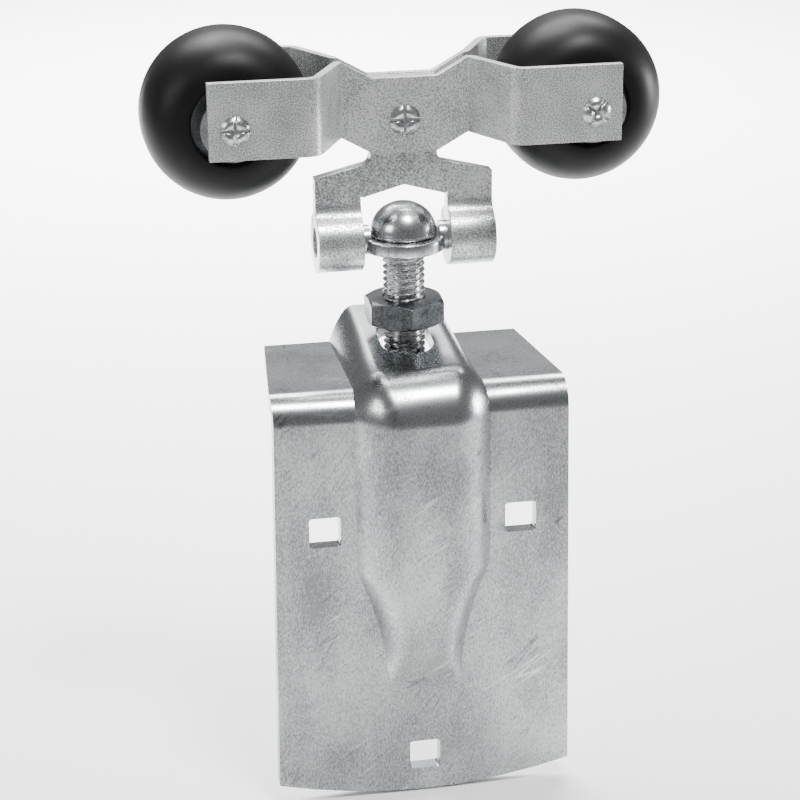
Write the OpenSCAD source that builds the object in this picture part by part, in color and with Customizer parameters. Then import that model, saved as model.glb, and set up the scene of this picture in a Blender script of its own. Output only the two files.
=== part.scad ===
/* Two-wheel trolley hanger for a sliding door: wheels between two jogged
   plates, a pendant with two rolled knuckles, a trunnion plate, a round-head
   bolt with two nuts, and an embossed angle bracket bolted to the door.
   Origin: mid-plane of the trolley, midway between the wheels, on the rail.
   +X runs along the rail, -Y faces the observer of the door, +Z is up. */

/* [Wheels] */
// Diameter of each wheel over the tread
wheel_d = 49.5; // [46:0.5:56]
// Distance between the two axles along the rail
axle_spacing = 104; // [100:1:125]
// Width of a wheel over its hub faces
hub_w = 36; // [30:0.5:40]
// Width of the plain band round the tread
tread_w = 5; // [2:0.5:10]
// Diameter of the bearing seat through the wheel
seat_d = 23.2; // [20:0.2:26]

/* [Bearings] */
// Diameter of the axle between the trolley plates
axle_d = 10; // [8:0.5:12]
// Diameter of the axle ends where they pass through the plates
axle_end_d = 8.4; // [6:0.2:9]
// Length of a bearing cup
cup_w = 30; // [24:1:34]
// Wall of a bearing cup
cup_wall = 1.7; // [1:0.1:2.2]
// Wall of the inner race on the axle
cone_wall = 1.9; // [1.2:0.1:2.4]
// Balls in one row
balls_per_row = 14; // [8:1:15]
// Distance between the two rows of balls
row_spacing = 18; // [12:1:22]
// Outer diameter of a thrust washer
washer_d = 19; // [15:0.5:22]
// Thickness of a thrust washer
washer_t = 1.7; // [1:0.1:2.2]

/* [Trolley plates] */
// Sheet thickness of the two trolley plates
plate_t = 2.4; // [1.8:0.1:3.2]
// Height of the strip the plates are cut from
strip_h = 22.2; // [19:0.2:26]
// Overall length of each plate
plate_len = 119; // [114:1:150]
// Clear gap between the plates at the wheels
side_gap = 45.6; // [42:0.2:52]
// Length of the flat middle, between its two bends
mid_flat = 39.2; // [34:0.2:44]
// Length along the rail taken up by each slanted panel
jog_run = 9.4; // [7:0.2:12]
// Bend radius at the sheet's centre line, outer bends
outer_bend_r = 4; // [2.5:0.5:6]
// Bend radius at the sheet's centre line, inner bends
inner_bend_r = 2; // [1.5:0.5:4]
// How far the middle of the strip is set down
mid_drop = 5.1; // [0:0.1:7]
// Length of the lowest part of the middle
mid_low_len = 19.3; // [12:0.1:26]
// Height of the axle above the strip's lower edge
axle_in_strip = 8.5; // [6:0.1:12]
// Diameter of the rivet through the middle
rivet_d = 9; // [6:0.5:10]
// Height of the rivet above the middle's lower edge
rivet_up = 9.6; // [7:0.1:14]
// How far staked ends stand out of the sheet
stake_out = 0.4; // [0.2:0.1:1]
// Width of the grooves of a cross stake
stake_w = 0.9; // [0.5:0.1:1.4]
// Depth of the grooves of a cross stake
stake_deep = 0.5; // [0.2:0.1:0.8]

/* [Pendant] */
// Sheet thickness of the pendant
pend_t = 4.5; // [3.5:0.1:5]
// Width of the pendant's neck
neck_w = 20; // [16:0.5:28]
// Width over the outer edges of the arms
arm_span = 53.4; // [48:0.2:64]
// Clear gap between the two knuckles
knuckle_gap = 26; // [25.6:0.2:30]
// Outer diameter of a rolled knuckle
knuckle_d = 18; // [16:0.5:20]
// Bore of a rolled knuckle
knuckle_bore = 9; // [7.5:0.1:9.5]
// Height of the axle centres above the knuckle centres
knuckle_drop = 40.8; // [39:0.1:50]
// Gap left where the roll closes on itself
roll_gap = 0.5; // [0.3:0.1:1]

/* [Trunnion] */
// Diameter of the trunnion's round plate
trunnion_d = 25; // [23:0.5:25]
// Thickness of the trunnion's round plate
trunnion_t = 4.1; // [3:0.1:5]
// How far the plate's middle lies below the journals
trunnion_low = 1.2; // [0:0.1:1.5]
// Length of a journal inside its knuckle
journal_in = 9.5; // [7:0.5:12]

/* [Bolt and nuts] */
// Thread diameter of the hanger bolt
bolt_d = 12.7; // [10:0.1:13]
// Diameter of the round head
head_d = 20; // [18:0.5:20.4]
// Height of the round head
head_h = 9.7; // [7:0.1:11]
// Height of the plain rim under the dome
head_rim = 1.4; // [0.8:0.1:2.5]
// Width of the nuts across their flats
nut_af = 22.2; // [18:0.1:23]
// Thickness of the jam nut
jam_t = 7.9; // [6:0.1:10]
// Distance from the trunnion down to the jam nut
jam_down = 14.9; // [10:0.1:18]
// Thickness of the captive nut under the hood
low_nut_t = 6.3; // [5:0.1:8]
// Length of thread left below the captive nut
bolt_tail = 0.8; // [0.2:0.1:3]

/* [Bracket] */
// Sheet thickness of the bracket
sheet_t = 4.7; // [3.5:0.1:5]
// Distance from the bolt's axis forward to the bracket's front face
front_set = 28; // [24:0.5:34]
// Distance from the knuckle centres down to the top flange
flange_down = 39.3; // [38:0.1:60]
// Depth of the top flange from the front face
flange_depth = 52.2; // [46:0.2:70]
// Half width of the flange at its back edge
flange_back_hw = 40; // [34:0.5:44]
// Half width of the front plate at the bend
front_top_hw = 44.4; // [40:0.2:50]
// Half width of the front plate at its lower corners
front_low_hw = 45.8; // [40:0.2:52]
// Height of the front plate's side edges below the flange
front_h = 126; // [115:1:170]
// How far the lower edge bows down in the middle
low_bow = 6; // [2:0.5:12]
// Outer radius of the bend between plate and flange
bend_r = 8.5; // [6:0.5:12]
// Distance between the two upper bolt holes
hole_pitch = 59.8; // [54:0.2:70]
// Side of a square bolt hole
hole_side = 9.5; // [8:0.1:11]
// Distance from the flange's top down to the upper holes
hole_up_z = 42.3; // [36:0.1:50]
// Distance from the flange's top down to the lower hole
hole_low_z = 119.9; // [106:0.1:125]
// Depth of the embossed channel in front of the plate
channel_out = 9; // [7:0.5:11]
// Half width of the channel at its foot
foot_hw = 20.5; // [17:0.5:22]
// Room between the captive nut's flats and the hood's wall, at its foot
nut_room = 3.7; // [3:0.1:5]
// Share of the channel's width taken up by its flat crown
crown_share = 0.35; // [0.2:0.05:0.5]
// Share of the hood's width taken up by its flat crown
hood_crown_share = 0.6; // [0.55:0.05:0.7]
// Height of the hood's outer surface at the front face
hood_h = 4.3; // [3:0.1:6]
// Rise of the hood towards the back, in degrees
hood_slope = 7.8; // [4:0.1:10]
// Distance below the flange at which the channel starts to taper
taper_z = 56; // [50:1:64]
// Distance below the flange at which the channel runs out
taper_end_z = 97; // [90:1:104]
// Gap on each side of the bolt in its slot
slot_side = 1.65; // [1:0.05:2.5]
// How far the bracket shifts each way along the slot
slot_travel = 5.55; // [4:0.05:6]

/* [Clearances] */
// Radial running clearance of journals, nuts and turning pins
run_gap = 0.05; // [0.02:0.01:0.1]
// Radial clearance of seats between pieces that don't move
seat_gap = 0.02; // [0.01:0.01:0.05]
// Radial clearance of the bolt in the trunnion
bolt_gap = 0.35; // [0.3:0.05:0.6]
// Clearance between balls and races
ball_gap = 0.1; // [0.08:0.02:0.2]
// Gap between flat faces that slide on each other
face_gap = 0.1; // [0.05:0.05:0.3]

/* [Hidden] */
$fn = 96;
eps = 0.01;

axle_z = wheel_d / 2;
strip_z = axle_z - axle_in_strip;
plate_y = side_gap / 2 + plate_t / 2;
mid_y = pend_t / 2 + seat_gap + plate_t / 2;
rivet_z = strip_z - mid_drop + rivet_up;
knuckle_z = axle_z - knuckle_drop;
trunnion_top = knuckle_z - trunnion_low + trunnion_t / 2;
head_z = trunnion_top + face_gap;
jam_z = trunnion_top - trunnion_t - jam_down;
flange_z = knuckle_z - flange_down;
hood_drop = sheet_t / cos(hood_slope);
slot_end_gap = 0.4;
slot_w = bolt_d + 2 * slot_side;
slot_len = bolt_d + 2 * (slot_travel + slot_end_gap);
hood_hw = nut_af / 2 + sheet_t + nut_room;
// The captive nut's front corner clears the sloped hood over the whole travel
nut_top_gap = 0.5;
low_nut_z = flange_z + hood_h - hood_drop - nut_top_gap
    + (front_set - nut_af / 2 / cos(30) - slot_travel) * tan(hood_slope);
bolt_end = low_nut_z - low_nut_t - bolt_tail;

patch_hw = max(foot_hw, hood_hw) + 3;
bend_steps = 9;
side_steps = 8;

steel = "#c3c5c6";
zinc = "#b4b6b6";
dark_steel = "#8a8d8f";
black_nylon = "#1b1b1c";

// A cylinder along Y between two depths
module y_rod(r, y0, y1) {
    translate([0, y1, 0])
        rotate([90, 0, 0])
            cylinder(r = r, h = y1 - y0);
}

// A cylinder along X between two positions
module x_rod(r, x0, x1) {
    translate([x0, 0, 0])
        rotate([0, 90, 0])
            cylinder(r = r, h = x1 - x0);
}

// A ring along Y, centred on the mid-plane
module y_tube(r_out, r_in, w) {
    difference() {
        y_rod(r_out, -w / 2, w / 2);
        y_rod(r_in, -w / 2 - 1, w / 2 + 1);
    }
}

module at_axle(side) {
    translate([side * axle_spacing / 2, 0, axle_z])
        children();
}

// Points of one bend of the strip, seen from above: c is the meeting point of
// the two centre lines, a0 and a1 their directions, r the centre-line radius
// and off the distance to the sheet's left (+) or right (-) surface.
function bend(c, a0, a1, r, off) =
    let (turn = a1 - a0,
         s = sign(turn),
         back = r * tan(abs(turn) / 2),
         m = c - back * [cos(a0), sin(a0)] + s * r * [-sin(a0), cos(a0)])
    [for (i = [0:6])
        let (a = a0 + turn * i / 6)
        m + (r - s * off) * s * [sin(a), -cos(a)]];

// One surface of the jogged strip, from its left end to its right end
function strip_side(off) =
    let (slant = atan2(plate_y - mid_y, jog_run),
         xb = mid_flat / 2,
         xj = mid_flat / 2 + jog_run)
    concat([[-plate_len / 2, -plate_y + off]],
        bend([-xj, -plate_y], 0, slant, outer_bend_r, off),
        bend([-xb, -mid_y], slant, 0, inner_bend_r, off),
        bend([xb, -mid_y], 0, -slant, inner_bend_r, off),
        bend([xj, -plate_y], -slant, 0, outer_bend_r, off),
        [[plate_len / 2, -plate_y + off]]);

function reversed(v) = [for (i = [len(v) - 1:-1:0]) v[i]];

// Outline of the strip from the front: level ends and a middle set down
module strip_outline() {
    lo = mid_low_len / 2;
    hi = mid_flat / 2 - 0.8;
    out = plate_len / 2 + 1;
    polygon([
        [-out, 0], [-hi, 0], [-lo, -mid_drop],
        [lo, -mid_drop], [hi, 0], [out, 0],
        [out, strip_h], [hi, strip_h], [lo, strip_h - mid_drop],
        [-lo, strip_h - mid_drop], [-hi, strip_h], [-out, strip_h]]);
}

module trolley_plate_form() {
    difference() {
        intersection() {
            translate([0, 0, strip_z - mid_drop - 1])
                linear_extrude(strip_h + mid_drop + 2)
                    polygon(concat(strip_side(-plate_t / 2),
                        reversed(strip_side(plate_t / 2))));
            translate([0, 0, strip_z])
                rotate([90, 0, 0])
                    linear_extrude(side_gap)
                        strip_outline();
        }
        for (side = [-1, 1])
            at_axle(side)
                y_rod(axle_end_d / 2 + seat_gap, -side_gap, 0);
        translate([0, 0, rivet_z])
            y_rod(rivet_d / 2 + seat_gap, -side_gap, 0);
    }
}

module front_trolley_plate() {
    color(steel)
        trolley_plate_form();
}

module rear_trolley_plate() {
    color(steel)
        mirror([0, 1, 0])
            trolley_plate_form();
}

// The pendant from the front: neck, two sloping arms and their ends
module pendant_outline() {
    nw = neck_w / 2;
    aw = arm_span / 2;
    kw = knuckle_gap / 2;
    top = strip_z - mid_drop + strip_h - 0.3;
    shoulder = knuckle_z + 23.5;
    tip = knuckle_z + 19.8;
    right = [
        [nw, top], [nw, shoulder + 2.2], [nw + 0.3, shoulder + 1.2],
        [nw + 0.8, shoulder + 0.4], [nw + 1.6, shoulder],
        [aw, tip], [aw, knuckle_z + knuckle_d / 2 - 2],
        [kw, knuckle_z + knuckle_d / 2 - 2],
        [kw, knuckle_z + 13.9], [kw - 0.5, knuckle_z + 13.4]];
    left = [for (i = [len(right) - 1:-1:0]) [-right[i][0], right[i][1]]];
    polygon(concat(right, [[0, knuckle_z + 16.8]], left));
}

// Solid of one knuckle with the fillet that leads the sheet into the roll
module knuckle_form(x0, x1) {
    r = knuckle_d / 2;
    rf = 5;
    fy = -pend_t / 2 - rf;
    fz = sqrt(pow(r + rf, 2) - pow(fy, 2));
    translate([0, 0, knuckle_z]) {
        x_rod(r, x0, x1);
        difference() {
            translate([x0, 0, 0])
                rotate([90, 0, 90])
                    linear_extrude(x1 - x0)
                        polygon([
                            [-pend_t / 2 + 0.5, fz], [-pend_t / 2, fz],
                            [fy * r / (r + rf), fz * r / (r + rf)],
                            [-0.5, r - 2], [-0.5, fz]]);
            translate([0, fy, fz])
                x_rod(rf, x0 - 1, x1 + 1);
        }
    }
}

module pendant_plate() {
    color(zinc)
        difference() {
            union() {
                translate([0, pend_t / 2, 0])
                    rotate([90, 0, 0])
                        linear_extrude(pend_t)
                            pendant_outline();
                knuckle_form(knuckle_gap / 2, arm_span / 2);
                knuckle_form(-arm_span / 2, -knuckle_gap / 2);
            }
            translate([0, 0, knuckle_z])
                x_rod(knuckle_bore / 2, -arm_span, arm_span);
            // The roll closes behind the sheet, leaving a thin gap
            translate([0, 0, knuckle_z])
                rotate([52, 0, 0])
                    translate([-arm_span, 0, -roll_gap / 2])
                        cube([2 * arm_span, knuckle_d, roll_gap]);
            translate([0, 0, rivet_z])
                y_rod(rivet_d / 2 + seat_gap, -pend_t, pend_t);
        }
}

// Two crossed grooves in the end face of a rod that ends at depth y
module cross_stake(d, y, turn) {
    for (a = [0, 90])
        translate([0, y, 0])
            rotate([0, turn + a, 0])
                translate([-d / 2 - 1, -stake_deep, -stake_w / 2])
                    cube([d + 2, 2 * stake_deep, stake_w]);
}

module staked_end(d, y_in, y_out, turn) {
    difference() {
        union() {
            y_rod(d / 2, y_out + 0.3, y_in);
            y_rod(d / 2 - 0.35, y_out, y_in);
        }
        cross_stake(d, y_out, turn);
    }
}

module centre_rivet() {
    end = mid_y + plate_t / 2 + stake_out;
    color(steel)
        translate([0, 0, rivet_z]) {
            staked_end(rivet_d, 0, -end, 0);
            mirror([0, 1, 0])
                staked_end(rivet_d, 0, -end, 45);
        }
}

module axle_form(turn) {
    end = plate_y + plate_t / 2 + stake_out;
    y_rod(axle_d / 2, -side_gap / 2 + eps, side_gap / 2 - eps);
    staked_end(axle_end_d, 0, -end, turn);
    mirror([0, 1, 0])
        staked_end(axle_end_d, 0, -end, turn + 20);
}

module left_axle() {
    color(steel)
        at_axle(-1)
            axle_form(0);
}

module right_axle() {
    color(steel)
        at_axle(1)
            axle_form(35);
}

// Half profile of the wheel: bore, hub face, dome and plain tread band
function wheel_half(s) =
    let (r0 = seat_d / 2 + seat_gap,
         rd = seat_d / 2 + 0.9,
         yt = tread_w / 2)
    concat([[r0, s * (hub_w / 2 - 0.6)], [r0 + 0.5, s * hub_w / 2]],
        [for (i = [0:15])
            let (a = 90 - 90 * i / 15)
            [rd + (wheel_d / 2 - rd) * cos(a),
             s * (yt + (hub_w / 2 - yt) * sin(a))]]);

module wheel_form() {
    rotate([90, 0, 0])
        rotate_extrude()
            polygon(concat(wheel_half(1), reversed(wheel_half(-1))));
}

module left_wheel() {
    color(black_nylon)
        at_axle(-1)
            wheel_form();
}

module right_wheel() {
    color(black_nylon)
        at_axle(1)
            wheel_form();
}

cup_in_r = seat_d / 2 - cup_wall;
cone_r = axle_d / 2 + seat_gap + cone_wall;
ball_d = cup_in_r - cone_r - 2 * ball_gap;
ball_pitch_r = (cup_in_r + cone_r) / 2;

// Outer race: a tube whose ends turn in to close the bearing
module cup_form() {
    y_tube(seat_d / 2, cup_in_r, cup_w);
    for (s = [-1, 1])
        translate([0, s * (cup_w / 2 - 0.6), 0])
            y_tube(cup_in_r + 0.2, cone_r + 0.4, 1.2);
}

module left_bearing_cup() {
    color(dark_steel)
        at_axle(-1)
            cup_form();
}

module right_bearing_cup() {
    color(dark_steel)
        at_axle(1)
            cup_form();
}

module ball_form() {
    for (s = [-1, 1])
        for (i = [0:balls_per_row - 1])
            rotate([0, i * 360 / balls_per_row, 0])
                translate([ball_pitch_r, s * row_spacing / 2, 0])
                    sphere(d = ball_d, $fn = 24);
}

module left_ball_set() {
    color(steel)
        at_axle(-1)
            ball_form();
}

module right_ball_set() {
    color(steel)
        at_axle(1)
            ball_form();
}

module cone_form() {
    y_tube(cone_r, axle_d / 2 + seat_gap,
        side_gap - 2 * washer_t - 4 * seat_gap);
}

module left_bearing_cone() {
    color(steel)
        at_axle(-1)
            cone_form();
}

module right_bearing_cone() {
    color(steel)
        at_axle(1)
            cone_form();
}

module washers_form() {
    for (s = [-1, 1])
        translate([0, s * (side_gap / 2 - seat_gap - washer_t / 2), 0])
            y_tube(washer_d / 2, axle_d / 2 + seat_gap, washer_t);
}

module left_thrust_washers() {
    color(steel)
        at_axle(-1)
            washers_form();
}

module right_thrust_washers() {
    color(steel)
        at_axle(1)
            washers_form();
}

module trunnion_plate() {
    r = trunnion_d / 2;
    jr = knuckle_bore / 2 - run_gap;
    j0 = head_d / 2 + 0.5;
    j1 = knuckle_gap / 2 + journal_in;
    color(zinc)
        difference() {
            union() {
                translate([0, 0, trunnion_top - trunnion_t])
                    rotate_extrude()
                        polygon([
                            [0, 0], [r - 0.6, 0], [r, 0.6],
                            [r, trunnion_t - 0.5], [r - 0.5, trunnion_t],
                            [0, trunnion_t]]);
                translate([0, 0, knuckle_z]) {
                    x_rod(jr, j0, j1);
                    x_rod(jr, -j1, -j0);
                }
            }
            cylinder(r = bolt_d / 2 + bolt_gap, h = 200, center = true);
        }
}

module hanger_bolt() {
    r = head_d / 2;
    dome = head_h - head_rim;
    color(steel) {
        translate([0, 0, head_z])
            rotate_extrude()
                polygon(concat(
                    [[0, 0], [r - 0.5, 0], [r, 0.5], [r, head_rim]],
                    [for (a = [2:8:66])
                        [(r - 0.1) * cos(a), head_rim + dome * sin(a) / sin(70)]],
                    [[r * cos(70), head_h], [0, head_h]]));
        translate([0, 0, bolt_end])
            rotate_extrude()
                polygon([
                    [0, 0], [bolt_d / 2 - 1, 0], [bolt_d / 2, 1],
                    [bolt_d / 2, head_z - bolt_end + 0.5],
                    [0, head_z - bolt_end + 0.5]]);
    }
}

// Hex nut with chamfered corners, a corner facing forward, standing on z = 0
module nut_form(t) {
    rc = nut_af / sqrt(3);
    rf = nut_af / 2 - 0.3;
    ch = (rc - rf) * tan(30);
    difference() {
        intersection() {
            rotate([0, 0, 30])
                cylinder(r = rc, h = t, $fn = 6);
            rotate_extrude()
                polygon([
                    [0, 0], [rf, 0], [rc, ch],
                    [rc, t - ch], [rf, t], [0, t]]);
        }
        translate([0, 0, -1])
            cylinder(r = bolt_d / 2 + run_gap, h = t + 2);
    }
}

module jam_nut() {
    color(steel)
        translate([0, 0, jam_z - jam_t])
            nut_form(jam_t);
}

module captive_nut() {
    color(steel)
        translate([0, 0, low_nut_z - low_nut_t])
            nut_form(low_nut_t);
}

// Half widths of the pressed shape's foot, and its height, below taper_z. It
// holds most of its depth along the taper and runs out steeply at the end
depth_power = 1.6;
function run_out(z) =
    let (q = max(0, (-taper_z - z) / (taper_end_z - taper_z)))
    [foot_hw * (0.55 + 0.45 * pow(1 - q, 2)),
     channel_out * cos(90 * pow(q, depth_power))];

// Half width of the front plate at a height z
function plate_hw(z) =
    front_low_hw + (front_top_hw - front_low_hw) * (z + front_h) / (front_h - bend_r);

// Stations along the sheet, from the plate's lower edge up the plate, round
// the bend and back along the flange. Each is [y, z, a, w, h, e, b, c]: a point
// on the outer face, the direction it faces in degrees above level, the half
// width of the pressed shape's foot, its height, the sheet's half width there,
// how far the station bows down in the middle and the crown's share of w.
stations = concat(
    [[0, -front_h, 0, foot_hw * 0.55, 0, front_low_hw, low_bow,
      crown_share]],
    [for (i = [0:10])
        let (z = -taper_end_z + (taper_end_z - taper_z) * i / 10, w = run_out(z))
        [0, z, 0, w[0], w[1], plate_hw(z), 0, crown_share]],
    [for (i = [1:5])
        let (z = -taper_z + (taper_z - bend_r) * i / 5)
        [0, z, 0, foot_hw, channel_out, plate_hw(z), 0, crown_share]],
    [for (i = [1:bend_steps])
        let (a = 90 * i / bend_steps, k = i / bend_steps)
        [bend_r - bend_r * cos(a), -bend_r + bend_r * sin(a), a,
         foot_hw + (hood_hw - foot_hw) * k,
         channel_out + (hood_h + bend_r * tan(hood_slope) - channel_out) * k,
         front_top_hw, 0,
         crown_share + (hood_crown_share - crown_share) * k]],
    [for (i = [1:6])
        let (y = bend_r + (flange_depth - bend_r) * i / 6)
        [y, 0, 90, hood_hw, hood_h + y * tan(hood_slope),
         front_top_hw + (flange_back_hw - front_top_hw) * i / 6, 0,
         hood_crown_share]]);

// Height of the pressed shape across its side, as a share of the whole: it
// leaves the sheet at a crisp crease (0) and rounds over to the crown (1)
side_power = 0.9;
function side_curve(t) = sin(90 * pow(t, side_power));

// Points across one station, outer face (inset 0) or inner face (inset t)
function across(st, inset) =
    let (w = st[3], h = st[4], wc = w * st[7],
         mid = (patch_hw + st[5]) / 2,
         half = [for (k = [0:side_steps])
             let (t = k / side_steps,
                  x = w - (w - wc) * t,
                  hh = h * side_curve(t),
                  dt = 0.5 / side_steps,
                  dh = h * (side_curve(min(1, t + dt)) - side_curve(max(0, t - dt))),
                  dx = (w - wc) * (min(1, t + dt) - max(0, t - dt)),
                  m = k == 0 ? 0 : atan2(dh, dx))
             [x - inset * sin(m), hh - inset * cos(m)]])
    concat([[st[5], -inset], [mid, -inset], [patch_hw, -inset]], half,
        [[0, h - inset]],
        [for (k = [side_steps:-1:0]) [-half[k][0], half[k][1]]],
        [[-patch_hw, -inset], [-mid, -inset], [-st[5], -inset]]);

function face_points(inset) =
    [for (st = stations)
        for (p = across(st, inset))
            [p[0], st[0] - p[1] * cos(st[2]),
             st[1] + p[1] * sin(st[2]) - st[6] * (1 - pow(p[0] / st[5], 2))]];

// The whole bent and pressed sheet in one piece, before its holes are cut
module pressed_sheet() {
    nc = 2 * side_steps + 9;
    nr = len(stations);
    n = nc * nr;
    polyhedron(
        points = concat(face_points(0), face_points(sheet_t)),
        faces = concat(
            [for (r = [0:nr - 2]) for (c = [0:nc - 2])
                for (f = [[0, 1, nc + 1], [0, nc + 1, nc]])
                    [for (k = [2:-1:0]) r * nc + c + f[k]]],
            [for (r = [0:nr - 2]) for (c = [0:nc - 2])
                for (f = [[0, 1, nc + 1], [0, nc + 1, nc]])
                    [for (k = [0:2]) n + r * nc + c + f[k]]],
            [for (r = [0:nr - 2]) for (c = [0, nc - 1])
                let (q = [r * nc + c, (r + 1) * nc + c,
                          n + (r + 1) * nc + c, n + r * nc + c])
                c == 0 ? reversed(q) : q],
            [for (r = [0, nr - 1]) for (c = [0:nc - 2])
                let (q = [r * nc + c, r * nc + c + 1,
                          n + r * nc + c + 1, n + r * nc + c])
                r == 0 ? q : reversed(q)]));
}

module square_hole(x, z) {
    h = hole_side / 2;
    r = 0.9;
    translate([x, 20, z])
        rotate([90, 0, 0])
            linear_extrude(30) {
                square([hole_side - 2 * r, hole_side], center = true);
                square([hole_side, hole_side - 2 * r], center = true);
                for (i = [-1, 1])
                    for (j = [-1, 1])
                        translate([i * (h - r), j * (h - r)])
                            circle(r = r, $fn = 24);
            }
}

module door_bracket() {
    color(zinc)
        translate([0, -front_set, flange_z])
            difference() {
                pressed_sheet();
                square_hole(-hole_pitch / 2, -hole_up_z);
                square_hole(hole_pitch / 2, -hole_up_z);
                square_hole(0, -hole_low_z);
                // Slot for the bolt, through the hood only
                for (s = [-1, 1])
                    translate([0, front_set + s * (slot_len - slot_w) / 2, 0])
                        cylinder(d = slot_w, h = 30);
                translate([-slot_w / 2, front_set - (slot_len - slot_w) / 2, 0])
                    cube([slot_w, slot_len - slot_w, 30]);
            }
}

front_trolley_plate();
rear_trolley_plate();
pendant_plate();
centre_rivet();
left_axle();
right_axle();
left_wheel();
right_wheel();
left_bearing_cup();
right_bearing_cup();
left_ball_set();
right_ball_set();
left_bearing_cone();
right_bearing_cone();
left_thrust_washers();
right_thrust_washers();
trunnion_plate();
hanger_bolt();
jam_nut();
captive_nut();
door_bracket();
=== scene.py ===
import math

import bmesh
import bpy
from mathutils import Matrix, Vector


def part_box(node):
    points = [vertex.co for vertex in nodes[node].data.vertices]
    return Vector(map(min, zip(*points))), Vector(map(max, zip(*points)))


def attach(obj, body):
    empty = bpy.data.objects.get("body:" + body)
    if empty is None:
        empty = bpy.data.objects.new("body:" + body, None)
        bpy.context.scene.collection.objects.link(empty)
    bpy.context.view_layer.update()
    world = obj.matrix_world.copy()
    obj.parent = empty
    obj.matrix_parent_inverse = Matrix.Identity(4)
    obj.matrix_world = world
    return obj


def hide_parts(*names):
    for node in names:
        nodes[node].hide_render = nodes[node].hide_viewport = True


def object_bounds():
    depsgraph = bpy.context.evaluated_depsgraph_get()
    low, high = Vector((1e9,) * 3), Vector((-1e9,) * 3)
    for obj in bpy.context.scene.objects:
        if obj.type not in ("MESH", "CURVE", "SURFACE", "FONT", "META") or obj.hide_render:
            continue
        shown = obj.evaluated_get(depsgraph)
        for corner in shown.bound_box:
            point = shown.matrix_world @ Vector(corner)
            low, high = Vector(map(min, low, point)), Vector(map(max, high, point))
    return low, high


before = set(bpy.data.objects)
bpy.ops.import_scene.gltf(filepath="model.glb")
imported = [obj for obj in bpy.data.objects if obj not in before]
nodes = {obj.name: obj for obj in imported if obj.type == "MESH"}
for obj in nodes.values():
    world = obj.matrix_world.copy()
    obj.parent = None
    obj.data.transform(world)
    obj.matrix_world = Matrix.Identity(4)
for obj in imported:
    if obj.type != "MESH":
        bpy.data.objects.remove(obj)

cad_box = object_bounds()
MM = 0.001

# ---------------------------------------------------------------- trolley plates
# Two pressed steel strips, jogged inwards at the middle to meet the pendant.
# The steel is zinc plated: a pale metal with a fine, bright, sparkling grain,
# and edges that are slightly rounded by shearing and barrel plating.

PLATE_GRAIN = 0.40 * MM
PLATE_CLOUD = 14.0 * MM
PLATE_EDGE = 0.28 * MM

GRAIN_DETAIL = 2.0
CLOUD_DETAIL = 4.0
GRAIN_RELIEF = 0.05 * MM
TINT_SPAN = (0.72, 1.28)   # grain plus cloud, from the dark tint to the light one
WEAR_SPAN = (0.7, 1.3)     # grain plus cloud, from the roughest to the smoothest
MIX_A, MIX_B, MIXED = 6, 7, 2   # the colour mix's own sockets

WELD = 0.002 * MM          # corners closer than this are one corner
SLIVER = 0.001 * MM        # edges shorter than this are cleared
FLAT_WITHIN = math.radians(0.6)
ROUNDED_PAST = math.radians(45)
ROUNDING_STEPS = 2
SHEET_SHARP = 32           # degrees between faces that still shade as one


def linear(hex_colour):
    parts = [int(hex_colour[i:i + 2], 16) / 255 for i in (1, 3, 5)]
    return [p / 12.92 if p <= 0.04045 else ((p + 0.055) / 1.055) ** 2.4
            for p in parts] + [1.0]


def put(tree, kind, inputs=None, **settings):
    """Adds one node. An input is a plain value, or (node, output) to link."""
    node = tree.nodes.new(kind)
    for name, value in settings.items():
        setattr(node, name, value)
    for socket, value in (inputs or {}).items():
        if isinstance(value, tuple) and isinstance(value[0], bpy.types.Node):
            tree.links.new(value[0].outputs[value[1]], node.inputs[socket])
        else:
            node.inputs[socket].default_value = value
    return node


def reckon(tree, operation, *values):
    """Adds one step of arithmetic."""
    return put(tree, "ShaderNodeMath", dict(enumerate(values)), operation=operation)


def in_scene(name, data):
    """A new object at the origin, in the scene."""
    made = bpy.data.objects.new(name, data)
    bpy.context.scene.collection.objects.link(made)
    return made


def applied(piece):
    """The piece's mesh with its modifiers carried out."""
    bpy.context.view_layer.update()
    return bpy.data.meshes.new_from_object(
        piece.evaluated_get(bpy.context.evaluated_depsgraph_get()))


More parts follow.
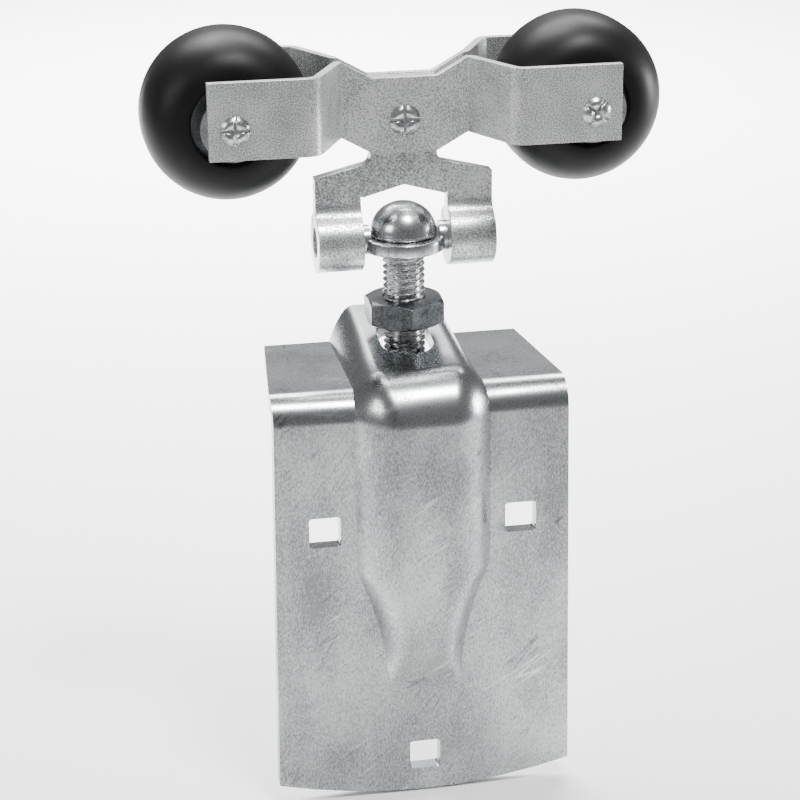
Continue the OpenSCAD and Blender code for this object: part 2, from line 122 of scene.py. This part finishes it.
def metal(name, dark, light, rough, grain, cloud, bump, metallic=1.0,
          stretch=(1, 1, 1), sparkle=1.0):
    """A finish with a grain and slow clouding, each sized in metres."""
    made = bpy.data.materials.new(name)
    made.use_nodes = True
    tree = made.node_tree
    tree.nodes.clear()
    where = put(tree, "ShaderNodeTexCoord")
    turned = put(tree, "ShaderNodeMapping", {"Vector": (where, "Object"), "Scale": stretch})
    fine = put(tree, "ShaderNodeTexNoise",
               {"Vector": (turned, "Vector"), "Scale": 1 / grain, "Detail": GRAIN_DETAIL})
    slow = put(tree, "ShaderNodeTexNoise",
               {"Vector": (turned, "Vector"), "Scale": 1 / cloud, "Detail": CLOUD_DETAIL})
    grained = put(tree, "ShaderNodeMapRange",
                  {"Value": (fine, "Fac"), "From Min": 0.5 - 0.5 / sparkle,
                   "From Max": 0.5 + 0.5 / sparkle})
    both = reckon(tree, "ADD", (grained, 0), (slow, "Fac"))
    level = put(tree, "ShaderNodeMapRange",
                {"Value": (both, 0), "From Min": TINT_SPAN[0], "From Max": TINT_SPAN[1]})
    tint = put(tree, "ShaderNodeMix", {"Factor": (level, 0)}, data_type="RGBA")
    tint.inputs[MIX_A].default_value = linear(dark)
    tint.inputs[MIX_B].default_value = linear(light)
    worn = put(tree, "ShaderNodeMapRange",
               {"Value": (both, 0), "From Min": WEAR_SPAN[0], "From Max": WEAR_SPAN[1],
                "To Min": rough[1], "To Max": rough[0]})
    relief = put(tree, "ShaderNodeBump",
                 {"Height": (fine, "Fac"), "Strength": bump, "Distance": GRAIN_RELIEF})
    shader = put(tree, "ShaderNodeBsdfPrincipled",
                 {"Base Color": (tint, MIXED), "Metallic": metallic,
                  "Roughness": (worn, 0), "Normal": (relief, "Normal")})
    put(tree, "ShaderNodeOutputMaterial", {"Surface": (shader, "BSDF")})
    return made


def without_slivers(mesh):
    """Clears the faces of no area that rounding leaves in sharp corners."""
    work = bmesh.new()
    work.from_mesh(mesh)
    bmesh.ops.remove_doubles(work, verts=work.verts, dist=SLIVER)
    bmesh.ops.triangulate(work, faces=work.faces)
    bmesh.ops.dissolve_degenerate(work, dist=SLIVER, edges=work.edges)
    work.to_mesh(mesh)
    work.free()


def softened(node, body, material, edge=0.0, sharp=SHEET_SHARP):
    """A merged copy of a CAD piece, with its edges rounded where edge is given."""
    mesh = nodes[node].data.copy()
    work = bmesh.new()
    work.from_mesh(mesh)
    bmesh.ops.remove_doubles(work, verts=work.verts, dist=WELD)
    if edge:
        bmesh.ops.dissolve_limit(work, angle_limit=FLAT_WITHIN,
                                 verts=work.verts, edges=work.edges)
    work.to_mesh(mesh)
    work.free()
    piece = in_scene(node + "_skin", mesh)
    mesh.materials.clear()
    mesh.materials.append(material)
    if edge:
        round_off = piece.modifiers.new("edge", "BEVEL")
        round_off.width = edge
        round_off.segments = ROUNDING_STEPS
        round_off.limit_method = "ANGLE"
        round_off.angle_limit = ROUNDED_PAST
        shaped = applied(piece)
        piece.modifiers.clear()
        without_slivers(shaped)
        piece.data = shaped
    piece.data.shade_smooth()
    piece.data.set_sharp_from_angle(angle=math.radians(sharp))
    if edge:
        level_faces = piece.modifiers.new("flat", "WEIGHTED_NORMAL")
        level_faces.keep_sharp = True
        level_faces.weight = 100
        shaded = applied(piece)
        piece.modifiers.clear()
        piece.data = shaded
    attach(piece, body)
    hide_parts(node)
    return piece


zinc_plated_strip = metal("zinc_plated_strip_steel", "#9a9d9e", "#fafafa",
                          (0.30, 0.48), PLATE_GRAIN, PLATE_CLOUD, 0.9, metallic=0.8,
                          sparkle=2.4)
for plate in ("front_trolley_plate", "rear_trolley_plate"):
    softened(plate, "trolley", zinc_plated_strip, PLATE_EDGE)

# ---------------------------------------------------------------- pendant
# A thicker pressed plate held between the two strips. Its arms end in rolled
# knuckles that carry the trunnion. Same plating, with the grain a little
# coarser where the steel was rolled.

PENDANT_EDGE = 0.3 * MM

zinc_plated_pendant = metal("zinc_plated_pendant_steel", "#8f9293", "#f2f3f3",
                            (0.28, 0.44), 0.5 * MM, PLATE_CLOUD, 0.8, metallic=0.85,
                            sparkle=2.2)
softened("pendant_plate", "trolley", zinc_plated_pendant, PENDANT_EDGE)

# ---------------------------------------------------------------- axles and rivet
# Turned steel pins whose ends are staked over the plates with a cross. The
# plating is smooth, so they reflect a little more than the strips.

TURNED_SHARP = 30

staked_steel = metal("zinc_plated_staked_steel", "#8c8f90", "#d9dbdb",
                     (0.22, 0.38), 0.6 * MM, 4.0 * MM, 0.3)
for pin in ("centre_rivet", "left_axle", "right_axle"):
    softened(pin, "trolley", staked_steel, sharp=TURNED_SHARP)
for side in ("left", "right"):
    softened(side + "_thrust_washers", "trolley", staked_steel, sharp=TURNED_SHARP)

# ---------------------------------------------------------------- bearings
# Pressed steel cups and cones with two rows of balls. The pressings are dark
# from heat treatment, and the balls are polished.

BALL_SHARP = 60

hardened_steel = metal("hardened_bearing_steel", "#4a4c4e", "#7c7f81",
                       (0.3, 0.46), 0.5 * MM, 5.0 * MM, 0.2)
polished_ball_steel = metal("polished_ball_steel", "#b9bcbe", "#d2d4d5",
                            (0.08, 0.14), 0.4 * MM, 3.0 * MM, 0.05)
for side in ("left", "right"):
    softened(side + "_bearing_cup", side + "_wheel_unit", hardened_steel,
             sharp=TURNED_SHARP)
    softened(side + "_bearing_cone", "trolley", hardened_steel,
             sharp=TURNED_SHARP)
    softened(side + "_ball_set", side + "_balls", polished_ball_steel,
             sharp=BALL_SHARP)

# ---------------------------------------------------------------- wheels
# Moulded black nylon, turned out of the mould with a satin skin. It has a
# broad soft highlight, a faint flow texture and no metal in it.

WHEEL_SHARP = 26
NYLON_IOR = 1.53
NYLON_SHEEN = 0.22

moulded_black_nylon = metal("moulded_black_nylon", "#050505", "#0a0a0b",
                            (0.40, 0.52), 0.35 * MM, 7.0 * MM, 0.15, metallic=0.0)
for part_of_finish in moulded_black_nylon.node_tree.nodes:
    if part_of_finish.type == "BSDF_PRINCIPLED":
        part_of_finish.inputs["IOR"].default_value = NYLON_IOR
        part_of_finish.inputs["Specular IOR Level"].default_value = NYLON_SHEEN
for side in ("left", "right"):
    softened(side + "_wheel", side + "_wheel_unit", moulded_black_nylon,
             sharp=WHEEL_SHARP)

# ---------------------------------------------------------------- trunnion
# A forged disc with two journals that turn in the knuckles, bright zinc over
# smooth steel.

TRUNNION_EDGE = 0.3 * MM

bright_zinc = metal("bright_zinc_on_smooth_steel", "#94979a", "#dfe1e2",
                    (0.18, 0.32), 0.8 * MM, 5.0 * MM, 0.2)
softened("trunnion_plate", "trunnion", bright_zinc, TRUNNION_EDGE)

# ---------------------------------------------------------------- hanger bolt
# A half-inch bolt with a domed head and a coarse rolled thread, bright zinc.
# The head is turned; the thread is one helical surface with flat crests and straight
# flanks.

THREAD_PITCH = 25.4 * MM / 13
THREAD_DEPTH = 0.613 * THREAD_PITCH
THREAD_CHAMFER = 1.1 * MM
CREST_HALF = 0.07          # of the pitch, either side of the crest's middle
ROOT_START = 0.44          # of the pitch, from the crest's middle
BOLT_DIAMETER = 12.7 * MM
HEAD_HEIGHT = 9.7 * MM
HEAD_OVERLAP = 0.01 * MM
BOLT_SHARP = 34
SHANK_STEPS = 72
STEPS_PER_TURN = 12

low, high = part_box("hanger_bolt")
shank_radius = BOLT_DIAMETER / 2
under_head = high.z - HEAD_HEIGHT
thread_length = under_head - low.z
thread_rows = int(thread_length / THREAD_PITCH * STEPS_PER_TURN)

thread_tree = bpy.data.node_groups.new("rolled_thread", "GeometryNodeTree")
thread_sizes = {"Radius": shank_radius, "Pitch": THREAD_PITCH, "Depth": THREAD_DEPTH,
                "Length": thread_length, "Top": under_head, "Chamfer": THREAD_CHAMFER}
thread_ids = {}
for size_name in thread_sizes:
    socket = thread_tree.interface.new_socket(size_name, in_out="INPUT",
                                              socket_type="NodeSocketFloat")
    thread_ids[size_name] = socket.identifier
thread_tree.interface.new_socket("Geometry", in_out="OUTPUT",
                                 socket_type="NodeSocketGeometry")
given = put(thread_tree, "NodeGroupInput")
# The grid's X runs along the bolt from -0.5 to 0.5 and its Y once around it.
# The first and last rows lie past the ends, where the radius falls to nothing,
# so that both ends close.
sheet = put(thread_tree, "GeometryNodeMeshGrid",
            {"Size X": 1.0, "Size Y": 1.0, "Vertices X": thread_rows + 3,
             "Vertices Y": SHANK_STEPS + 1})
at = put(thread_tree, "GeometryNodeInputPosition")
axes = put(thread_tree, "ShaderNodeSeparateXYZ", {"Vector": (at, "Position")})
grid_stretch = (thread_rows + 2) / thread_rows
along = reckon(thread_tree, "MULTIPLY_ADD", (axes, "X"), grid_stretch, 0.5)
kept = put(thread_tree, "ShaderNodeClamp", {"Value": (along, 0)})
drop = reckon(thread_tree, "MULTIPLY", (kept, 0), (given, "Length"))
height = reckon(thread_tree, "SUBTRACT", (given, "Top"), (drop, 0))
turns_down = reckon(thread_tree, "DIVIDE", (drop, 0), (given, "Pitch"))
turns = reckon(thread_tree, "ADD", (turns_down, 0), (axes, "Y"))
within = reckon(thread_tree, "FRACT", (turns, 0))
flank = reckon(thread_tree, "SUBTRACT", (within, 0), 0.5)
flank = reckon(thread_tree, "ABSOLUTE", (flank, 0))
groove = put(thread_tree, "ShaderNodeMapRange",
             {"Value": (flank, 0), "From Min": CREST_HALF, "From Max": ROOT_START,
              "To Min": 0.0, "To Max": 1.0})
cut = reckon(thread_tree, "MULTIPLY", (groove, 0), (given, "Depth"))
cut_radius = reckon(thread_tree, "SUBTRACT", (given, "Radius"), (cut, 0))
to_end = reckon(thread_tree, "SUBTRACT", (given, "Length"), (drop, 0))
core = reckon(thread_tree, "SUBTRACT", (given, "Radius"), (given, "Chamfer"))
cone = reckon(thread_tree, "ADD", (core, 0), (to_end, 0))
ended = reckon(thread_tree, "MINIMUM", (cut_radius, 0), (cone, 0))
off_centre = reckon(thread_tree, "SUBTRACT", (along, 0), 0.5)
off_centre = reckon(thread_tree, "ABSOLUTE", (off_centre, 0))
on_bolt = reckon(thread_tree, "LESS_THAN", (off_centre, 0), 0.5 + 0.5 / thread_rows)
radius = reckon(thread_tree, "MULTIPLY", (ended, 0), (on_bolt, 0))
angle = reckon(thread_tree, "MULTIPLY", (axes, "Y"), 2 * math.pi)
across = reckon(thread_tree, "COSINE", (angle, 0))
away = reckon(thread_tree, "SINE", (angle, 0))
px = reckon(thread_tree, "MULTIPLY", (across, 0), (radius, 0))
py = reckon(thread_tree, "MULTIPLY", (away, 0), (radius, 0))
placed = put(thread_tree, "ShaderNodeCombineXYZ",
             {"X": (px, 0), "Y": (py, 0), "Z": (height, 0)})
wound = put(thread_tree, "GeometryNodeSetPosition",
            {"Geometry": (sheet, "Mesh"), "Position": (placed, "Vector")})
closed = put(thread_tree, "GeometryNodeMergeByDistance",
             {"Geometry": (wound, "Geometry"), "Distance": SLIVER})
real = put(thread_tree, "GeometryNodeRealizeInstances", {"Geometry": (closed, "Geometry")})
coat = put(thread_tree, "GeometryNodeSetMaterial",
           {"Geometry": (real, "Geometry"), "Material": bright_zinc})
put(thread_tree, "NodeGroupOutput", {"Geometry": (coat, "Geometry")})

blank = in_scene("thread_blank", bpy.data.meshes.new("thread_blank"))
winding = blank.modifiers.new("thread", "NODES")
winding.node_group = thread_tree
for size_name, size in thread_sizes.items():
    winding[thread_ids[size_name]] = size
thread_mesh = applied(blank)
bpy.data.objects.remove(blank)

# The head is the CAD bolt above its underside, and the shank below it is the
# helical surface. Both are closed, and they share one mesh.
bolt_form = bmesh.new()
bolt_form.from_mesh(nodes["hanger_bolt"].data)
bmesh.ops.remove_doubles(bolt_form, verts=bolt_form.verts, dist=WELD)
cut_head = bmesh.ops.bisect_plane(
    bolt_form, geom=bolt_form.verts[:] + bolt_form.edges[:] + bolt_form.faces[:],
    plane_co=(0, 0, under_head - HEAD_OVERLAP), plane_no=(0, 0, -1), clear_outer=True)
rim = [e for e in cut_head["geom_cut"] if isinstance(e, bmesh.types.BMEdge)]
bmesh.ops.holes_fill(bolt_form, edges=rim)
shank_form = bmesh.new()
shank_form.from_mesh(thread_mesh)
bmesh.ops.recalc_face_normals(shank_form, faces=shank_form.faces)
shank_form.to_mesh(thread_mesh)
shank_form.free()
bolt_form.from_mesh(thread_mesh)
bolt_mesh = bpy.data.meshes.new("hanger_bolt_skin")
bolt_form.to_mesh(bolt_mesh)
bolt_form.free()
bolt_mesh.materials.clear()
bolt_mesh.materials.append(bright_zinc)
for face in bolt_mesh.polygons:
    face.material_index = 0
bolt_mesh.shade_smooth()
bolt_mesh.set_sharp_from_angle(angle=math.radians(BOLT_SHARP))
bolt = in_scene("hanger_bolt_skin", bolt_mesh)
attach(bolt, "hanger")
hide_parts("hanger_bolt")

# ---------------------------------------------------------------- nuts
# Hexagon nuts with chamfered corners. The jam nut locks the height; the other
# sits under the bracket's hood. Their zinc is duller and darker.

NUT_EDGE = 0.25 * MM

dull_zinc = metal("dull_zinc_on_forged_nuts", "#36393b", "#74777a",
                  (0.26, 0.42), 0.6 * MM, 4.0 * MM, 0.3)
softened("jam_nut", "lock", dull_zinc, NUT_EDGE)
softened("captive_nut", "hanger", dull_zinc, NUT_EDGE)

# ---------------------------------------------------------------- door bracket
# One thick galvanised sheet, bent over the door's corner and pressed out in
# the middle. It is scuffed from the press: slow clouds, an upright grain, and
# slanted scratches, most of them darker than the zinc and a few brighter.

SHEET_EDGE = 0.45 * MM
BRACKET_SHARP = 40
SCRATCH_SHOW = 0.62        # how much of a scratch's colour shows at its middle
SCRATCH_STRETCH = 0.06     # a scratch is this much drawn out along its length
PATCH_LEAST = 7 * MM       # the least size of a scratched patch
PATCH_DETAIL = 2.0
PATCH_SPAN = (0.55, 0.66)  # where a patch starts to show, and where it is full

galvanised = metal("scuffed_galvanised_sheet", "#7f8284", "#bec1c2",
                   (0.20, 0.34), 0.45 * MM, 16.0 * MM, 0.30, stretch=(1, 1, 0.5),
                   sparkle=1.15)
sheet_tree = galvanised.node_tree
shader = next(n for n in sheet_tree.nodes if n.type == "BSDF_PRINCIPLED")
tint = next(n for n in sheet_tree.nodes if n.type == "MIX")
place = next(n for n in sheet_tree.nodes if n.type == "TEX_COORD")
scratched = (tint, MIXED)
# Each set of scratches: its slant in radians, its spacing, how wide its lines
# are, and its colour. The lines are drawn wider than real ones, to show at all.
for slant, gap, line_width, colour in (
        (-0.95, 1.2 * MM, 0.055, "#505355"), (-1.05, 3.4 * MM, 0.028, "#e9eaea"),
        (-0.62, 4.0 * MM, 0.026, "#45484a")):
    slanted = put(sheet_tree, "ShaderNodeVectorRotate",
                  {"Vector": (place, "Object"), "Angle": slant}, rotation_type="Y_AXIS")
    drawn = put(sheet_tree, "ShaderNodeMapping",
                {"Vector": (slanted, "Vector"), "Scale": (1, 1, SCRATCH_STRETCH)})
    lines = put(sheet_tree, "ShaderNodeTexNoise",
                {"Vector": (drawn, "Vector"), "Scale": 1 / gap, "Detail": 0.0})
    near = reckon(sheet_tree, "SUBTRACT", (lines, "Fac"), 0.5)
    near = reckon(sheet_tree, "ABSOLUTE", (near, 0))
    thin = put(sheet_tree, "ShaderNodeMapRange",
               {"Value": (near, 0), "From Min": 0.0, "From Max": line_width,
                "To Min": SCRATCH_SHOW, "To Max": 0.0})
    patches = put(sheet_tree, "ShaderNodeTexNoise",
                  {"Vector": (slanted, "Vector"), "Scale": 1 / (PATCH_LEAST + 2 * gap),
                   "Detail": PATCH_DETAIL})
    some = put(sheet_tree, "ShaderNodeMapRange",
               {"Value": (patches, "Fac"), "From Min": PATCH_SPAN[0],
                "From Max": PATCH_SPAN[1]})
    mark = reckon(sheet_tree, "MULTIPLY", (thin, 0), (some, 0))
    marked = put(sheet_tree, "ShaderNodeMix", {"Factor": (mark, 0)}, data_type="RGBA")
    sheet_tree.links.new(scratched[0].outputs[scratched[1]], marked.inputs[MIX_A])
    marked.inputs[MIX_B].default_value = linear(colour)
    scratched = (marked, MIXED)
sheet_tree.links.new(scratched[0].outputs[scratched[1]], shader.inputs["Base Color"])
softened("door_bracket", "bracket", galvanised, SHEET_EDGE,
         BRACKET_SHARP)

# ---------------------------------------------------------------- floor, light, camera
# A plain pale floor just under the bracket's lower edge, large soft lights
# around the object, and a long lens looking slightly down from the left.

FLOOR_GAP = 0.6 * MM
FLOOR_REACH = 6.0
SKY_STRENGTH = 0.34
CAMERA_LENS = 100.03
CAMERA_SENSOR = 36.0
CAMERA_LEAN = math.radians(0.64)

floor_mesh = bpy.data.meshes.new("floor")
floor_z = cad_box[0][2] - FLOOR_GAP
floor_mesh.from_pydata([(FLOOR_REACH * x, FLOOR_REACH * y, floor_z)
                        for x, y in ((-1, -1), (1, -1), (1, 1), (-1, 1))],
                       [], [(0, 1, 2, 3)])
floor = in_scene("floor", floor_mesh)
paper = metal("matt_white_paper", "#f1f1f1", "#f6f6f6", (0.85, 0.95),
              2.0 * MM, 400 * MM, 0.0, metallic=0.0)
floor_mesh.materials.append(paper)

for light_name, spot, aim, watts, size_m, spread in (
        ("shoulder", (0.16, -0.42, 0.95), (0, 0, -0.06), 1.6, 0.26, 60),
        ("left_soft", (-0.95, -0.45, 0.40), (0, 0, -0.05), 0.5, 0.40, 60),
        ("right_edge", (0.90, 0.05, -0.02), (0, 0, -0.11), 1.0, 0.28, 60),
        ("overhead", (-0.10, 0.30, 0.95), (0, 0, -0.02), 0.9, 0.40, 60),
        ("back_floor", (0.10, 1.00, 0.80), (0.10, 1.00, -0.19), 62.0, 1.10, 110)):
    lamp = bpy.data.lights.new(light_name, "AREA")
    lamp.energy = watts
    lamp.size = size_m
    lamp.spread = math.radians(spread)
    holder = in_scene(light_name, lamp)
    holder.location = spot
    holder.rotation_euler = (Vector(aim) - Vector(spot)).to_track_quat("-Z", "Y").to_euler()

world = bpy.data.worlds.new("studio")
bpy.context.scene.world = world
world.use_nodes = True
sky = world.node_tree.nodes["Background"]
sky.inputs["Color"].default_value = linear("#dfe1e3")
sky.inputs["Strength"].default_value = SKY_STRENGTH

eye = Vector((-0.1189, -0.6296, 0.1663))
sight = Vector((0.1721, 0.9234, -0.3432)).normalized()
level_right = sight.cross(Vector((0, 0, 1))).normalized()
plumb_up = level_right.cross(sight)
up = plumb_up * math.cos(CAMERA_LEAN) + level_right * math.sin(CAMERA_LEAN)
right = sight.cross(up)
camera_data = bpy.data.cameras.new("camera")
camera_data.lens = CAMERA_LENS
camera_data.sensor_width = CAMERA_SENSOR
camera = in_scene("camera", camera_data)
camera.matrix_world = Matrix.Translation(eye) @ Matrix(
    (right, up, -sight)).transposed().to_4x4()
bpy.context.scene.camera = camera

bpy.context.view_layer.update()
